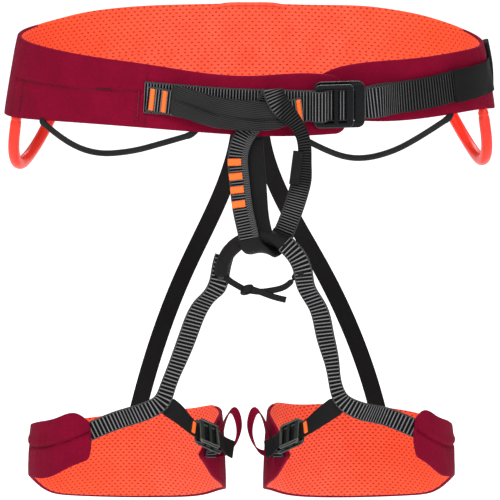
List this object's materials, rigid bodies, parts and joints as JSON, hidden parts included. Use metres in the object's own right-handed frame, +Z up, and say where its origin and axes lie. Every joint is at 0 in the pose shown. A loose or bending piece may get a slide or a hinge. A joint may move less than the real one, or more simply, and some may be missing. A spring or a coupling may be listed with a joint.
{
  "type": "climbing harness",
  "caption": "Sport climbing sit harness with a padded waist belt, webbing tie-in points, belay loop, gear loops and two adjustable leg loops on elastic risers.",
  "frame": {"origin": "centre of the waist ring, halfway up the sides of the belt", "axes": "+Z up along the wearer's body, +Y toward the wearer's back, +X to the wearer's left"},
  "size_m": [0.3849, 0.2427, 0.3914],
  "materials": {
    "burgundy_fabric": "tight-woven nylon shell fabric",
    "orange_mesh": "perforated spacer mesh lining",
    "foam": "closed-cell foam core",
    "black_webbing": "ribbed polyamide webbing",
    "black_elastic": "smooth elastic band",
    "sleeve_fabric": "twill-woven wear sleeve",
    "orange_thread": "dense bartack stitching",
    "black_aluminium": "black anodised",
    "grey_aluminium": "dark grey anodised",
    "orange_plastic": "moulded, satin",
    "black_plastic": "moulded, satin",
    "black_cord": "sheathed cord",
    "label_fabric": "folded woven label"
  },
  "bodies": {
    "waist_belt": {"belt_shell": "burgundy_fabric", "belt_foam": "foam", "belt_lining": "orange_mesh", "belt_load_webbing": "black_webbing", "waist_strap": "black_webbing", "waist_buckle_anchor": "black_webbing", "tail_keeper": "black_elastic", "tie_in_strap": "black_webbing", "tie_in_sleeve": "sleeve_fabric", "waist_bartacks": "orange_thread", "waist_buckle_plate": "black_aluminium", "tie_in_arch_webbing": "black_webbing", "tie_in_arch_protector": "sleeve_fabric", "tie_in_lace": "black_webbing", "lace_knot": "black_webbing", "riser_anchor": "black_webbing", "left_riser_hook": "black_plastic", "right_riser_hook": "black_plastic", "left_riser": "black_elastic", "right_riser": "black_elastic", "haul_loop_anchor": "black_webbing"},
    "waist_buckle_slider": {"waist_buckle_slider": "black_aluminium"},
    "belay_loop": {"belay_loop": "black_webbing", "belay_bartacks": "orange_thread", "belay_label": "label_fabric"},
    "haul_loop": {"haul_loop": "black_webbing"},
    "left_rear_gear_loop": {"left_rear_gear_loop": "orange_plastic"},
    "right_rear_gear_loop": {"right_rear_gear_loop": "orange_plastic"},
    "left_front_gear_loop": {"left_front_gear_loop": "black_cord"},
    "right_front_gear_loop": {"right_front_gear_loop": "black_cord"},
    "left_leg": {"left_leg_pad_shell": "burgundy_fabric", "left_leg_pad_foam": "foam", "left_leg_pad_lining": "orange_mesh", "left_leg_front_strap": "black_webbing", "left_leg_thigh_webbing": "black_webbing", "left_leg_bartack": "orange_thread", "left_leg_buckle_anchor": "black_webbing", "left_leg_buckle_plate": "black_aluminium", "left_leg_tail_keeper": "burgundy_fabric"},
    "left_leg_buckle_slider": {"left_leg_buckle_slider": "grey_aluminium"},
    "right_leg": {"right_leg_pad_shell": "burgundy_fabric", "right_leg_pad_foam": "foam", "right_leg_pad_lining": "orange_mesh", "right_leg_front_strap": "black_webbing", "right_leg_thigh_webbing": "black_webbing", "right_leg_bartack": "orange_thread", "right_leg_buckle_anchor": "black_webbing", "right_leg_buckle_plate": "black_aluminium", "right_leg_tail_keeper": "burgundy_fabric"},
    "right_leg_buckle_slider": {"right_leg_buckle_slider": "grey_aluminium"}
  },
  "joints": [
    {"name": "waist_buckle_tilt", "type": "hinge", "parent": "waist_belt", "child": "waist_buckle_slider", "pos_m": [0.05056, -0.10597, -0.0013], "axis": [0, 0, -1], "range_deg": [0, 35]},
    {"name": "belay_loop_slide", "type": "slide", "parent": "waist_belt", "child": "belay_loop", "axis": [1, 0, 0], "range_m": [-0.002, 0.002]},
    {"name": "haul_loop_swing", "type": "hinge", "parent": "waist_belt", "child": "haul_loop", "pos_m": [0, 0.1144, -0.0124], "axis": [1, 0, 0], "range_deg": [-3, 75]},
    {"name": "left_leg_swing", "type": "hinge", "parent": "waist_belt", "child": "left_leg", "pos_m": [0, -0.11, -0.1366], "axis": [-1, 0, 0], "range_deg": [-12, 25], "stiffness_Nm_per_rad": 1.2, "springref_deg": -2.46, "deforming": ["left_riser"]},
    {"name": "left_leg_buckle_tilt", "type": "hinge", "parent": "left_leg", "child": "left_leg_buckle_slider", "pos_m": [-0.04022, -0.07273, -0.26773], "axis": [0.0499, -0.7404, -0.6703], "range_deg": [0, 35]},
    {"name": "right_leg_swing", "type": "hinge", "parent": "waist_belt", "child": "right_leg", "pos_m": [0, -0.11, -0.1366], "axis": [-1, 0, 0], "range_deg": [-12, 25], "stiffness_Nm_per_rad": 1.2, "springref_deg": -2.38, "deforming": ["right_riser"]},
    {"name": "right_leg_buckle_tilt", "type": "hinge", "parent": "right_leg", "child": "right_leg_buckle_slider", "pos_m": [0.03922, -0.07273, -0.26773], "axis": [0.0499, 0.7404, 0.6703], "range_deg": [0, 35]},
    {"name": "left_rear_gear_loop_swing", "type": "hinge", "parent": "waist_belt", "child": "left_rear_gear_loop", "pos_m": [-0.18765, -0.02355, -0.02722], "axis": [0.3324, 0.9328, -0.1394], "range_deg": [-6, 60]},
    {"name": "right_rear_gear_loop_swing", "type": "hinge", "parent": "waist_belt", "child": "right_rear_gear_loop", "pos_m": [0.18769, -0.02368, -0.02441], "axis": [0.3029, -0.9412, 0.1493], "range_deg": [-6, 60]},
    {"name": "left_front_gear_loop_swing", "type": "hinge", "parent": "waist_belt", "child": "left_front_gear_loop", "pos_m": [-0.16027, -0.05974, -0.0246], "axis": [-0.9321, 0.3623, -0.0033], "range_deg": [-8, 70]},
    {"name": "right_front_gear_loop_swing", "type": "hinge", "parent": "waist_belt", "child": "right_front_gear_loop", "pos_m": [0.04236, -0.10174, -0.0266], "axis": [-0.9332, -0.3572, -0.0388], "range_deg": [-8, 70]}
  ]
}
